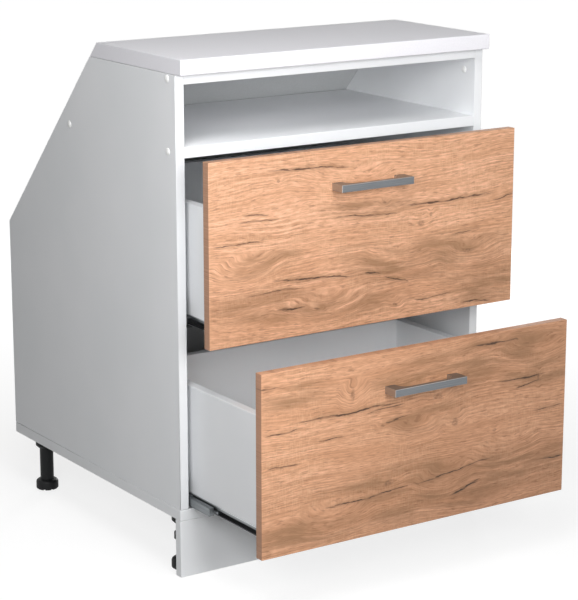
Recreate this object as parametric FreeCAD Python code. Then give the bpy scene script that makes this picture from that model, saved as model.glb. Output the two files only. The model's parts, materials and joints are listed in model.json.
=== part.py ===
import FreeCAD, Part
import math
import os

V = FreeCAD.Vector
os.makedirs("parts", exist_ok=True)

# All sizes in millimetres. X runs along the width, Y from the front to the wall, Z up from the floor.
# The origin is on the floor, in the middle of the width, at the front edges of the side panels.

# Whole cabinet and carcass panels
cabinet_height = 840.0
carcass_width = 600.0
carcass_depth = 583.0
side_thickness = 16.0
rear_edge_height = 374.0
bottom_thickness = 18.0
shelf_thickness = 18.0
niche_height = 96.5
top_rail_thickness = 16.0
top_rail_depth = 100.0

# Worktop, whose rear edge is cut along the slope of the roof
worktop_thickness = 25.0
worktop_overhang = 17.5
worktop_top_depth = 264.0
worktop_edge_radius = 2.0

# Thin back panels, let into a rebate behind the side panels
back_thickness = 3.0
back_lap = 10.0
back_side_clearance = 0.5
bottom_rebate_height = 9.0

# Plinth, legs and levelling feet
leg_height = 96.0
plinth_thickness = 16.0
leg_side_inset = 29.0
leg_front_inset = 40.0
leg_rear_inset = 62.5
leg_radius = 12.15
socket_plate_width = 44.0
socket_plate_thickness = 3.0
socket_collar_radius = 19.0
socket_height = 18.0
socket_collar_bevel = 4.5
socket_screw_spacing = 35.0
foot_radius = 20.0
foot_height = 18.0
foot_bevel = 4.0
foot_notches = 8
foot_notch_width = 4.0
foot_notch_depth = 3.0
foot_notch_height = 4.0
stud_radius = 5.0
stud_length = 42.0
stud_clearance = 0.05
clip_ring_width = 3.0
clip_height = 10.0
clip_bottom = 51.0
clip_mouth = 14.0
clip_pad_width = 30.0
clip_pad_height = 26.0
clip_pad_thickness = 3.0

# Drawer fronts and boxes
front_thickness = 16.0
front_side_reveal = 2.0
front_gap = 3.5
front_lift = 7.0
front_shelf_cover = 8.0
front_edge_radius = 1.0
upper_opening = 75.0
lower_opening = 220.0
box_lift = 32.0
box_side_height = 180.0
box_side_thickness = 16.0
box_length = 407.0
box_back_thickness = 16.0
box_bottom_thickness = 4.0
box_bottom_lift = 12.0
groove_depth = 6.0
groove_clearance = 0.1
bumper_radius = 4.0
bumper_thickness = 1.5
bumper_end_inset = 25.0

# Bar handles, bridge shaped with an arch behind the bar
handle_length = 140.0
handle_height = 12.0
handle_projection = 28.0
handle_bar_thickness = 8.0
handle_foot_width = 19.0
handle_arch_radius = 14.0
handle_edge_radius = 1.0
handle_hole_spacing = 128.0
handle_drop = 60.0
handle_thread_depth = 12.0

# Telescopic runners: a rail on the cabinet, a middle rail and a rail under the drawer side
runner_gap = 13.0
runner_length = 400.0
runner_front_setback = 3.0
runner_sheet = 1.5
runner_height = 18.0
runner_play = 0.3
runner_flange_height = 22.0
cabinet_rail_reach = 12.0
cabinet_rail_top_reach = 11.0
cabinet_rail_top_drop = 1.0
drawer_rail_lip = 5.0
drawer_rail_foot_gap = 5.0
middle_rail_length = 345.0
middle_rail_setback = 50.0
middle_head_width = 8.0
middle_neck_height = 3.0
middle_ridge_width = 1.3
middle_channel_depth = 2.4
runner_screw_rise = 14.0
runner_screw_end = 40.0
runner_screws_per_rail = 3

# Fasteners
fit = 0.05
panel_screw_radius = 2.5
panel_screw_length = 50.0
panel_screw_head_radius = 4.75
panel_screw_head_length = 3.0
panel_screw_front_inset = 24.0
panel_screw_rear_inset = 41.0
bottom_screw_front_inset = 120.0
bottom_screw_rear_inset = 143.0
cap_radius = 6.0
cap_rim_radius = 5.3
cap_thickness = 1.0
niche_cap_front_inset = 29.0
niche_cap_drop = 38.0
small_screw_radius = 1.75
small_screw_length = 12.0
small_screw_head_radius = 3.0
small_screw_head_length = 1.6
rail_screw_radius = 2.0
rail_screw_bite = 14.0
rail_screw_head_radius = 4.0
rail_screw_head_length = 2.5
rail_screw_front_inset = 50.0
rail_screw_spacing = 200.0
bracket_leg = 25.0
bracket_width = 20.0
bracket_thickness = 2.0
bracket_front_inset = 190.0
nail_radius = 0.9
nail_length = 14.0
nail_head_radius = 2.5
nail_head_length = 0.8
nails_per_edge = 4
nail_edge_inset = 40.0
bottom_nail_spacing = 150.0
handle_screw_radius = 2.0
handle_screw_bite = 10.0
handle_screw_head_radius = 4.0
handle_screw_head_length = 2.5
cam_radius = 7.5
cam_thickness = 12.5
cam_setback = 24.0
cam_edge_inset = 40.0
cam_bolt_radius = 3.0
cam_bolt_bite = 11.0

# Places worked out from the sizes above
LEFT = -1
RIGHT = 1
SIDES = (LEFT, RIGHT)
ALONG_X = V(1, 0, 0)
ALONG_Y = V(0, 1, 0)
ALONG_Z = V(0, 0, 1)
half_width = carcass_width / 2
half_inside = half_width - side_thickness
z_carcass = leg_height
z_sides = z_carcass + bottom_thickness
z_knee = z_sides + rear_edge_height
z_worktop = cabinet_height
z_top = z_worktop - worktop_thickness
z_top_rail = z_top - top_rail_thickness
z_shelf_top = z_top_rail - niche_height
z_shelf = z_shelf_top - shelf_thickness
y_worktop_front = -worktop_overhang
y_worktop_rear = y_worktop_front + worktop_top_depth
slope_run = carcass_depth - y_worktop_rear
slope_rise = z_worktop - z_knee
slope_length = math.hypot(slope_run, slope_rise)
slope_normal = V(0, slope_rise / slope_length, slope_run / slope_length)
back_depth_along_y = back_thickness / slope_normal.y
z_fronts = z_carcass + front_lift
front_height = (z_shelf + front_shelf_cover - z_fronts - front_gap) / 2
half_front = half_width - front_side_reveal
half_box = half_inside - runner_gap
half_box_inside = half_box - box_side_thickness
back_edge_x = half_inside + back_lap
nail_x = half_inside + back_lap / 2
leg_x = half_width - leg_side_inset
leg_places = {
    "front_left": V(-leg_x, leg_front_inset, 0),
    "front_right": V(leg_x, leg_front_inset, 0),
    "rear_left": V(-leg_x, carcass_depth - leg_rear_inset, 0),
    "rear_right": V(leg_x, carcass_depth - leg_rear_inset, 0),
}


def rear_y(z):
    """Depth of the carcass's rear outline at a height above the knee."""
    return carcass_depth - (z - z_knee) * slope_run / slope_rise


z_knee_inside = z_knee - (back_depth_along_y - back_thickness) * slope_rise / slope_run


def span(a, b):
    return (min(a, b), max(a, b))


def box(x, y, z):
    """Box from three (low, high) pairs."""
    return Part.makeBox(x[1] - x[0], y[1] - y[0], z[1] - z[0], V(x[0], y[0], z[0]))


def plate_across(outline, x):
    """Solid with an outline of (y, z) points, running across the width."""
    corners = [V(x[0], y, z) for y, z in outline]
    face = Part.Face(Part.makePolygon(corners + corners[:1]))
    return face.extrude(V(x[1] - x[0], 0, 0))


def bar_along(section, y):
    """Solid with a section of (x, z) points, running from front to back."""
    corners = [V(x, y[0], z) for x, z in section]
    face = Part.Face(Part.makePolygon(corners + corners[:1]))
    return face.extrude(V(0, y[1] - y[0], 0))


def rod(start, direction, radius, length):
    return Part.makeCylinder(radius, length, start, direction)


def fuse(*solids):
    return solids[0].fuse(list(solids[1:])).removeSplitter()


def group(solids):
    return Part.makeCompound(solids)


def evenly(first, last, count):
    step = (last - first) / (count - 1)
    return [first + i * step for i in range(count)]


def sunk_screw(seat, direction, slack=0.0):
    """Panel screw with its head let in flush at the seat; slack turns it into its own hole."""
    head = rod(seat, direction, panel_screw_head_radius + slack, panel_screw_head_length)
    shank = rod(seat, direction, panel_screw_radius + slack, panel_screw_length + slack)
    return fuse(head, shank)


def pan_screw(seat, direction, radius, length, head_radius, head_length, slack=0.0):
    """Screw whose head stands on the seat; slack turns it into its own hole."""
    head = rod(seat - direction * head_length, direction, head_radius, head_length)
    shank = rod(seat, direction, radius + slack, length + slack)
    return fuse(head, shank)


def small_screw(seat, direction, slack=0.0):
    return pan_screw(seat, direction, small_screw_radius, small_screw_length,
                     small_screw_head_radius, small_screw_head_length, slack)


def nail(seat, direction, slack=0.0):
    return pan_screw(seat, direction, nail_radius, nail_length,
                     nail_head_radius, nail_head_length, slack)


def panel_screw_seats(side):
    """Outer ends of the screws that hold the top rail and the niche shelf."""
    z_rail_middle = z_top - top_rail_thickness / 2
    z_shelf_middle = z_shelf + shelf_thickness / 2
    y_rear = rear_y(z_shelf_middle) - panel_screw_rear_inset
    places = [
        (panel_screw_front_inset, z_rail_middle),
        (panel_screw_front_inset, z_shelf_middle),
        (y_rear, z_shelf_middle),
    ]
    return [V(side * half_width, y, z) for y, z in places]


def panel_screws(slack=0.0):
    return [sunk_screw(seat, ALONG_X * -side, slack)
            for side in SIDES for seat in panel_screw_seats(side)]


def bottom_screws(slack=0.0):
    """Screws that rise through the bottom panel into the side panels."""
    x = half_width - side_thickness / 2
    depths = (bottom_screw_front_inset, carcass_depth - bottom_screw_rear_inset)
    return [sunk_screw(V(side * x, y, z_carcass), ALONG_Z, slack)
            for side in SIDES for y in depths]


def niche_cap_seats():
    z = z_top - niche_cap_drop
    return [(side, V(side * half_inside, niche_cap_front_inset, z)) for side in SIDES]


def cover_caps():
    caps = []
    for side in SIDES:
        for seat in panel_screw_seats(side):
            caps.append(Part.makeCone(cap_radius, cap_rim_radius, cap_thickness, seat, ALONG_X * side))
    for side, seat in niche_cap_seats():
        caps.append(Part.makeCone(cap_radius, cap_rim_radius, cap_thickness, seat, ALONG_X * -side))
    return group(caps)


def worktop_rail_screws(slack=0.0):
    """Screws that rise through the top rail into the worktop."""
    length = top_rail_thickness + rail_screw_bite
    return [pan_screw(V(x, rail_screw_front_inset, z_top_rail), ALONG_Z, rail_screw_radius, length,
                      rail_screw_head_radius, rail_screw_head_length, slack)
            for x in (-rail_screw_spacing, 0, rail_screw_spacing)]


def bracket_screws(slack=0.0):
    screws = []
    y = bracket_front_inset + bracket_width / 2
    for side in SIDES:
        x = side * (half_inside - bracket_leg / 2 - bracket_thickness)
        screws.append(small_screw(V(x, y, z_top - bracket_thickness), ALONG_Z, slack))
        x = side * (half_inside - bracket_thickness)
        z = z_top - bracket_leg / 2 - bracket_thickness
        screws.append(small_screw(V(x, y, z), ALONG_X * side, slack))
    return screws


def worktop_brackets():
    """Steel angles that hold the rear of the worktop to the side panels."""
    brackets = []
    y = (bracket_front_inset, bracket_front_inset + bracket_width)
    for side in SIDES:
        upright = box(span(side * half_inside, side * (half_inside - bracket_thickness)), y,
                      (z_top - bracket_leg, z_top))
        level = box(span(side * half_inside, side * (half_inside - bracket_leg)), y,
                    (z_top - bracket_thickness, z_top))
        brackets.append(fuse(upright, level))
    return group(brackets).cut(group(bracket_screws(fit)))


def back_nails(slack=0.0):
    nails = []
    for side in SIDES:
        x = side * nail_x
        for z in evenly(z_sides + nail_edge_inset, z_knee - nail_edge_inset, nails_per_edge):
            nails.append(nail(V(x, carcass_depth, z), -ALONG_Y, slack))
        for z in evenly(z_knee + nail_edge_inset, z_top - nail_edge_inset, nails_per_edge):
            nails.append(nail(V(x, rear_y(z), z), -slope_normal, slack))
    z = z_sides - bottom_rebate_height / 2
    for x in (-bottom_nail_spacing, 0, bottom_nail_spacing):
        nails.append(nail(V(x, carcass_depth, z), -ALONG_Y, slack))
    return nails


def side_panel(side):
    outline = [(0, z_sides), (carcass_depth, z_sides), (carcass_depth, z_knee),
               (rear_y(z_top), z_top), (0, z_top)]
    panel = plate_across(outline, span(side * half_inside, side * half_width))
    y_rear_inside = carcass_depth - back_thickness
    rebate = [(carcass_depth, z_sides), (carcass_depth, z_knee), (rear_y(z_top), z_top),
              (rear_y(z_top) - back_depth_along_y, z_top), (y_rear_inside, z_knee_inside),
              (y_rear_inside, z_sides)]
    cuts = [plate_across(rebate, span(side * half_inside, side * back_edge_x))]
    cuts += panel_screws(fit) + bottom_screws(fit) + bracket_screws(fit) + back_nails(fit)
    for z_box in box_heights.values():
        cuts += cabinet_rail_screws(side, z_box, fit)
    return panel.cut(cuts)


def bottom_panel():
    panel = box((-half_width, half_width), (0, carcass_depth), (z_carcass, z_sides))
    rebate = box((-back_edge_x, back_edge_x), (carcass_depth - back_thickness, carcass_depth),
                 (z_sides - bottom_rebate_height, z_sides))
    return panel.cut([rebate] + bottom_screws(fit) + back_nails(fit) + socket_screws(fit))


def niche_shelf():
    outline = [(0, z_shelf), (rear_y(z_shelf) - back_depth_along_y, z_shelf),
               (rear_y(z_shelf_top) - back_depth_along_y, z_shelf_top), (0, z_shelf_top)]
    return plate_across(outline, (-half_inside, half_inside)).cut(panel_screws(fit))


def top_front_rail():
    rail = box((-half_inside, half_inside), (0, top_rail_depth), (z_top_rail, z_top))
    return rail.cut(panel_screws(fit) + worktop_rail_screws(fit))


def worktop():
    outline = [(y_worktop_front, z_top), (rear_y(z_top), z_top), (y_worktop_rear, z_worktop),
               (y_worktop_front, z_worktop)]
    slab = plate_across(outline, (-half_width, half_width))
    front_edges = [e for e in slab.Edges
                   if e.BoundBox.YMax < y_worktop_front + fit and e.BoundBox.XLength > fit]
    slab = slab.makeFillet(worktop_edge_radius, front_edges)
    return slab.cut(worktop_rail_screws(fit) + bracket_screws(fit))


def sloped_back_panel():
    outline = [(carcass_depth, z_knee), (rear_y(z_top), z_top),
               (rear_y(z_top) - back_depth_along_y, z_top),
               (carcass_depth - back_thickness, z_knee_inside)]
    half = back_edge_x - back_side_clearance
    return plate_across(outline, (-half, half)).cut(back_nails(fit))


def lower_back_panel():
    z_foot = z_sides - bottom_rebate_height
    y_inside = carcass_depth - back_thickness
    outline = [(carcass_depth, z_foot), (carcass_depth, z_knee), (y_inside, z_knee_inside),
               (y_inside, z_foot)]
    half = back_edge_x - back_side_clearance
    return plate_across(outline, (-half, half)).cut(back_nails(fit))


def plinth_panel():
    return box((-half_width, half_width), (0, plinth_thickness), (0, leg_height))


def plinth_clips():
    """Snap rings round the front legs, each with a pad that holds the plinth."""
    clips = []
    for name in ("front_left", "front_right"):
        centre = leg_places[name] + ALONG_Z * clip_bottom
        inner = leg_radius + fit
        outer = inner + clip_ring_width
        ring = rod(centre, ALONG_Z, outer, clip_height)
        z = (clip_bottom, clip_bottom + clip_height)
        neck = box((centre.x - clip_mouth / 2, centre.x + clip_mouth / 2),
                   (plinth_thickness, centre.y), z)
        z_pad = clip_bottom + (clip_height - clip_pad_height) / 2
        pad = box((centre.x - clip_pad_width / 2, centre.x + clip_pad_width / 2),
                  (plinth_thickness, plinth_thickness + clip_pad_thickness),
                  (z_pad, z_pad + clip_pad_height))
        mouth = box((centre.x - clip_mouth / 2, centre.x + clip_mouth / 2),
                    (centre.y, centre.y + outer), z)
        clip = fuse(ring, neck, pad).cut([rod(centre, ALONG_Z, inner, clip_height), mouth])
        clips.append(clip)
    return group(clips)


def socket_screws(slack=0.0):
    screws = []
    z = z_carcass - socket_plate_thickness
    for centre in leg_places.values():
        for x in (-socket_screw_spacing / 2, socket_screw_spacing / 2):
            for y in (-socket_screw_spacing / 2, socket_screw_spacing / 2):
                screws.append(small_screw(centre + V(x, y, z), ALONG_Z, slack))
    return screws


def leg_sockets():
    """Flanged cups under the bottom panel that take the leg tubes."""
    sockets = []
    z_collar = z_carcass - socket_height
    for centre in leg_places.values():
        half = socket_plate_width / 2
        plate = box((centre.x - half, centre.x + half), (centre.y - half, centre.y + half),
                    (z_carcass - socket_plate_thickness, z_carcass))
        bevel = Part.makeCone(socket_collar_radius - socket_collar_bevel, socket_collar_radius,
                              socket_collar_bevel, centre + ALONG_Z * z_collar, ALONG_Z)
        collar = rod(centre + ALONG_Z * (z_collar + socket_collar_bevel), ALONG_Z,
                     socket_collar_radius, socket_height - socket_collar_bevel)
        cup = rod(centre + ALONG_Z * z_collar, ALONG_Z, leg_radius + fit,
                  socket_height - socket_plate_thickness)
        sockets.append(fuse(plate, bevel, collar).cut(cup))
    return group(sockets).cut(group(socket_screws(fit)))


def leg_tubes():
    tubes = []
    top = z_carcass - socket_plate_thickness
    for centre in leg_places.values():
        foot_top = centre + ALONG_Z * foot_height
        tube = rod(foot_top, ALONG_Z, leg_radius, top - foot_height)
        thread = rod(foot_top, ALONG_Z, stud_radius + stud_clearance, stud_length + stud_clearance)
        tubes.append(tube.cut(thread))
    return group(tubes)


def levelling_foot(centre):
    """Notched foot with the threaded stud that screws into the leg tube."""
    rim = rod(centre, ALONG_Z, foot_radius, foot_height - foot_bevel)
    shoulder = Part.makeCone(foot_radius, foot_radius - foot_bevel, foot_bevel,
                             centre + ALONG_Z * (foot_height - foot_bevel), ALONG_Z)
    stud = rod(centre + ALONG_Z * foot_height, ALONG_Z, stud_radius, stud_length)
    foot = fuse(rim, shoulder, stud)
    for i in range(foot_notches):
        notch = box((foot_radius - foot_notch_depth, foot_radius + foot_notch_depth),
                    (-foot_notch_width / 2, foot_notch_width / 2), (0, foot_notch_height))
        notch.rotate(V(0, 0, 0), ALONG_Z, 360.0 * i / foot_notches)
        notch.translate(centre)
        foot = foot.cut(notch)
    return foot


def runner_x(side, reach):
    """Place across the width, counted from the inside of a side panel."""
    return side * (half_inside - reach)


def runner_bar(side, section, z_box, y):
    """Runner rail from a section of (reach, height over the drawer box's lower edge) points."""
    return bar_along([(runner_x(side, reach), z_box + rise) for reach, rise in section], y)


drawer_rail_outer = runner_gap
drawer_rail_inner = runner_gap + box_side_thickness
runner_floor = runner_sheet - runner_height


def cabinet_rail_screws(side, z_box, slack=0.0):
    first = runner_front_setback + runner_screw_end
    last = runner_front_setback + runner_length - runner_screw_end
    seats = [V(runner_x(side, runner_sheet), y, z_box + runner_screw_rise)
             for y in evenly(first, last, runner_screws_per_rail)]
    return [small_screw(seat, ALONG_X * side, slack) for seat in seats]


def cabinet_rail(side, z_box):
    top = -cabinet_rail_top_drop
    section = [
        (0, -runner_height), (cabinet_rail_reach, -runner_height),
        (cabinet_rail_reach, runner_floor), (runner_sheet, runner_floor),
        (runner_sheet, top - runner_sheet), (cabinet_rail_top_reach, top - runner_sheet),
        (cabinet_rail_top_reach, top), (runner_sheet, top),
        (runner_sheet, runner_flange_height), (0, runner_flange_height),
    ]
    y = (runner_front_setback, runner_front_setback + runner_length)
    return runner_bar(side, section, z_box, y).cut(cabinet_rail_screws(side, z_box, fit))


def middle_rail(side, z_box, opening):
    """Rail between the other two; it travels half as far as the drawer."""
    low = runner_floor + runner_play
    outer_top = -cabinet_rail_top_drop - runner_sheet - runner_play
    inner_top = -runner_sheet - runner_play
    outer_start = runner_sheet + runner_play
    outer_end = outer_start + middle_head_width
    inner_end = drawer_rail_inner - runner_sheet - runner_play
    inner_start = drawer_rail_outer + drawer_rail_foot_gap
    neck_low = (low + outer_top - middle_neck_height) / 2
    neck_high = neck_low + middle_neck_height
    channel = inner_top - middle_channel_depth
    section = [
        (outer_start, low), (outer_end, low), (outer_end, neck_low), (inner_start, neck_low),
        (inner_start, low), (inner_end, low), (inner_end, inner_top),
        (inner_end - middle_ridge_width, inner_top), (inner_end - middle_ridge_width, channel),
        (inner_start + middle_ridge_width, channel), (inner_start + middle_ridge_width, inner_top),
        (inner_start, inner_top), (inner_start, neck_high), (outer_end, neck_high),
        (outer_end, outer_top), (outer_start, outer_top),
    ]
    y_front = middle_rail_setback - opening / 2
    return runner_bar(side, section, z_box, (y_front, y_front + middle_rail_length))


def drawer_rail_screws(side, z_box, opening, slack=0.0):
    y_front = runner_front_setback - opening
    reach = (drawer_rail_outer + drawer_rail_foot_gap + drawer_rail_inner - runner_sheet) / 2
    seats = [V(runner_x(side, reach), y, z_box - runner_sheet)
             for y in evenly(y_front + runner_screw_end, y_front + runner_length - runner_screw_end,
                             runner_screws_per_rail)]
    return [small_screw(seat, ALONG_Z, slack) for seat in seats]


def drawer_rail(side, z_box, opening):
    section = [
        (drawer_rail_outer, -drawer_rail_lip), (drawer_rail_outer, 0), (drawer_rail_inner, 0),
        (drawer_rail_inner, -runner_height),
        (drawer_rail_outer + drawer_rail_foot_gap, -runner_height),
        (drawer_rail_outer + drawer_rail_foot_gap, runner_floor),
        (drawer_rail_inner - runner_sheet, runner_floor),
        (drawer_rail_inner - runner_sheet, -runner_sheet),
        (drawer_rail_outer + runner_sheet, -runner_sheet),
        (drawer_rail_outer + runner_sheet, -drawer_rail_lip),
    ]
    y_front = runner_front_setback - opening
    rail = runner_bar(side, section, z_box, (y_front, y_front + runner_length))
    return rail.cut(drawer_rail_screws(side, z_box, opening, fit))


def handle_screws(opening, z_front, slack=0.0):
    z = z_front + front_height - handle_drop
    length = front_thickness + handle_screw_bite
    return [pan_screw(V(side * handle_hole_spacing / 2, -opening, z), -ALONG_Y, handle_screw_radius,
                      length, handle_screw_head_radius, handle_screw_head_length, slack)
            for side in SIDES]


def handle(opening, z_front):
    y_face = -opening - front_thickness
    y_out = y_face - handle_projection
    y_in = y_out + handle_bar_thickness
    z = z_front + front_height - handle_drop - handle_height / 2
    half = handle_length / 2
    foot = half - handle_foot_width
    radius = min(handle_arch_radius, handle_projection - handle_bar_thickness)
    bend = radius * (1 - math.sqrt(0.5))

    def corner(x, y):
        return V(x, y, z)

    right_arch = Part.Arc(corner(foot, y_in + radius), corner(foot - bend, y_in + bend),
                          corner(foot - radius, y_in)).toShape()
    left_arch = Part.Arc(corner(radius - foot, y_in), corner(bend - foot, y_in + bend),
                         corner(-foot, y_in + radius)).toShape()
    outside = Part.makePolygon([corner(-foot, y_in + radius), corner(-foot, y_face), corner(-half, y_face),
                                corner(-half, y_out), corner(half, y_out), corner(half, y_face),
                                corner(foot, y_face), corner(foot, y_in + radius)])
    behind_bar = Part.makeLine(corner(foot - radius, y_in), corner(radius - foot, y_in))
    wire = Part.Wire(outside.Edges + [right_arch, behind_bar, left_arch])
    bridge = Part.Face(wire).extrude(V(0, 0, handle_height))
    front_edges = [e for e in bridge.Edges if e.BoundBox.YMax < y_out + fit]
    bridge = bridge.makeFillet(handle_edge_radius, front_edges)
    threads = [rod(V(side * handle_hole_spacing / 2, y_face, z + handle_height / 2), -ALONG_Y,
                   handle_screw_radius + fit, handle_thread_depth) for side in SIDES]
    return bridge.cut(threads)


def cam_heights(z_box):
    return (z_box + cam_edge_inset, z_box + box_side_height - cam_edge_inset)


def cams(side, z_box, opening, slack=0.0):
    y = cam_setback - opening
    return [rod(V(side * half_box_inside, y, z), ALONG_X * side, cam_radius + slack, cam_thickness + slack)
            for z in cam_heights(z_box)]


def cam_bolts(side, z_box, opening, slack=0.0):
    x = side * (half_box_inside + box_side_thickness / 2)
    length = cam_bolt_bite + cam_setback - cam_radius - 2 * fit
    y = -opening - cam_bolt_bite - slack
    return [rod(V(x, y, z), ALONG_Y, cam_bolt_radius + slack, length + slack) for z in cam_heights(z_box)]


def back_screws(side, z_box, opening, slack=0.0):
    """Screws through a drawer side into the end of the drawer back."""
    y = box_length - box_back_thickness / 2 - opening
    return [sunk_screw(V(side * half_box, y, z), ALONG_X * -side, slack) for z in cam_heights(z_box)]


def drawer_front(opening, z_front, z_box):
    panel = box((-half_front, half_front), (-opening - front_thickness, -opening),
                (z_front, z_front + front_height))
    panel = panel.makeFillet(front_edge_radius, panel.Edges)
    cuts = handle_screws(opening, z_front, fit)
    for side in SIDES:
        cuts += cam_bolts(side, z_box, opening, fit)
    return panel.cut(cuts)


def drawer_side(side, z_box, opening):
    x = span(side * half_box, side * half_box_inside)
    panel = box(x, (-opening, box_length - opening), (z_box, z_box + box_side_height))
    groove = box(span(side * half_box_inside, side * (half_box_inside + groove_depth)),
                 (-opening, box_length - opening),
                 (z_box + box_bottom_lift - groove_clearance,
                  z_box + box_bottom_lift + box_bottom_thickness + groove_clearance))
    cuts = [groove] + cams(side, z_box, opening, fit) + cam_bolts(side, z_box, opening, fit)
    cuts += back_screws(side, z_box, opening, fit) + drawer_rail_screws(side, z_box, opening, fit)
    return panel.cut(cuts)


def drawer_back(z_box, opening):
    y = (box_length - box_back_thickness - opening, box_length - opening)
    z = (z_box + box_bottom_lift + box_bottom_thickness, z_box + box_side_height)
    panel = box((-half_box_inside, half_box_inside), y, z)
    return panel.cut(back_screws(LEFT, z_box, opening, fit) + back_screws(RIGHT, z_box, opening, fit))


def drawer_bottom(z_box, opening):
    half = half_box_inside + groove_depth - groove_clearance
    z = z_box + box_bottom_lift
    return box((-half, half), (-opening, box_length - opening), (z, z + box_bottom_thickness))


def front_bumpers(opening, z_front):
    """Soft pads on the back of a front, where it meets the edges of the side panels."""
    x = half_width - side_thickness / 2
    heights = (z_front + bumper_end_inset, z_front + front_height - bumper_end_inset)
    return group([rod(V(side * x, -opening, z), ALONG_Y, bumper_radius, bumper_thickness)
                  for side in SIDES for z in heights])


def save(name, shape):
    shape.exportStep("parts/" + name + ".step")


openings = {"upper": upper_opening, "lower": lower_opening}
front_heights = {"lower": z_fronts, "upper": z_fronts + front_height + front_gap}
box_heights = {level: z + box_lift for level, z in front_heights.items()}


def save_carcass():
    save("left_side_panel", side_panel(LEFT))
    save("right_side_panel", side_panel(RIGHT))
    save("bottom_panel", bottom_panel())
    save("niche_shelf", niche_shelf())
    save("top_front_rail", top_front_rail())
    save("worktop", worktop())
    save("sloped_back_panel", sloped_back_panel())
    save("lower_back_panel", lower_back_panel())
    save("back_panel_nails", group(back_nails()))
    save("panel_screws", group(panel_screws()))
    save("bottom_screws", group(bottom_screws()))
    save("cover_caps", cover_caps())
    save("worktop_screws", group(worktop_rail_screws()))
    save("worktop_brackets", worktop_brackets())
    save("bracket_screws", group(bracket_screws()))


def save_base():
    save("plinth_panel", plinth_panel())
    save("plinth_clips", plinth_clips())
    save("leg_sockets", leg_sockets())
    save("leg_socket_screws", group(socket_screws()))
    save("leg_tubes", leg_tubes())
    for place, centre in leg_places.items():
        save("foot_" + place, levelling_foot(centre))


def save_runners():
    screws = []
    for level, z_box in box_heights.items():
        for side, word in ((LEFT, "left"), (RIGHT, "right")):
            name = level + "_" + word
            save(name + "_cabinet_rail", cabinet_rail(side, z_box))
            save(name + "_middle_rail", middle_rail(side, z_box, openings[level]))
            save(name + "_drawer_rail", drawer_rail(side, z_box, openings[level]))
            screws += cabinet_rail_screws(side, z_box)
    save("cabinet_rail_screws", group(screws))


def save_drawer(level):
    opening = openings[level]
    z_front = front_heights[level]
    z_box = box_heights[level]
    save(level + "_drawer_front", drawer_front(opening, z_front, z_box))
    save(level + "_drawer_left_side", drawer_side(LEFT, z_box, opening))
    save(level + "_drawer_right_side", drawer_side(RIGHT, z_box, opening))
    save(level + "_drawer_back", drawer_back(z_box, opening))
    save(level + "_drawer_bottom", drawer_bottom(z_box, opening))
    save(level + "_handle", handle(opening, z_front))
    save(level + "_handle_screws", group(handle_screws(opening, z_front)))
    save(level + "_front_bumpers", front_bumpers(opening, z_front))
    fittings = []
    box_screws = []
    rail_screws = []
    for side in SIDES:
        fittings += cams(side, z_box, opening) + cam_bolts(side, z_box, opening)
        box_screws += back_screws(side, z_box, opening)
        rail_screws += drawer_rail_screws(side, z_box, opening)
    save(level + "_front_cam_fittings", group(fittings))
    save(level + "_drawer_back_screws", group(box_screws))
    save(level + "_drawer_rail_screws", group(rail_screws))


save_carcass()
save_base()
save_runners()
save_drawer("upper")
save_drawer("lower")
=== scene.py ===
import json
import math

import bmesh
import bpy
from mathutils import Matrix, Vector

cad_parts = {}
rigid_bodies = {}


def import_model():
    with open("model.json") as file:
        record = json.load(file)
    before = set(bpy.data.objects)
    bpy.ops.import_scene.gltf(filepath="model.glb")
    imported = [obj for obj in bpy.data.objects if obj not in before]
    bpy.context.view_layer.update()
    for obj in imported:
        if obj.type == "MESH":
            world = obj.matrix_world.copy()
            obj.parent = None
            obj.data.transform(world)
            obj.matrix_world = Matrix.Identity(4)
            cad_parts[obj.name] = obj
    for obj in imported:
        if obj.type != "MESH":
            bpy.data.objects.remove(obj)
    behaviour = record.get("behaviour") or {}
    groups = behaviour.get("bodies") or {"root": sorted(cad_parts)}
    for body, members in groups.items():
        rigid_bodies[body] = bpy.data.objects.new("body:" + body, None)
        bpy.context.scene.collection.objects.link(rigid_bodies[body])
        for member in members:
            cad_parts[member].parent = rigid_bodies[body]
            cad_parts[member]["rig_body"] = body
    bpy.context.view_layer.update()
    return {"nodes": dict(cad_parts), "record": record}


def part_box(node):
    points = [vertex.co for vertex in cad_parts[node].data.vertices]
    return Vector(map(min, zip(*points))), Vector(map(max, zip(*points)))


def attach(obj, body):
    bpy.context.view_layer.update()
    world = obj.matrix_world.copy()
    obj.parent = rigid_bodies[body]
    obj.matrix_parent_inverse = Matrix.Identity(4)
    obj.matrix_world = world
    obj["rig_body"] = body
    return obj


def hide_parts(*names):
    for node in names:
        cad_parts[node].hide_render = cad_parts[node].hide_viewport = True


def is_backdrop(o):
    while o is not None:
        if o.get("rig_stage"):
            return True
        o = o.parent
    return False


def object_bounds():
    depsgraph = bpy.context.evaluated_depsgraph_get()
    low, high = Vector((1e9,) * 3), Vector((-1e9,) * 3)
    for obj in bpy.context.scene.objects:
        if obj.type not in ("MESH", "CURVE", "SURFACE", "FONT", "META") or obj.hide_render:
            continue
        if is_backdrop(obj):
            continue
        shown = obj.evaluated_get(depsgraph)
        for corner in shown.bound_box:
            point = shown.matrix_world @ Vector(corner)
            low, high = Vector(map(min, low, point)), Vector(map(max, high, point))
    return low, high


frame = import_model()
nodes = frame["nodes"]

MM = 0.001
WELD = 0.01 * MM  # points closer than this count as one
HAIRLINE = 0.5 * MM  # narrowest joint between two boards
RAIL_LIP = 5 * MM  # height of a drawer rail's lip
RAIL_HIGHLIGHT = 1.4 * MM  # height of the painted highlight along the top of that lip
SHELF_GAP = 3 * MM  # between the niche shelf and the back panel
LEVELS = ("upper", "lower")


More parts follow.
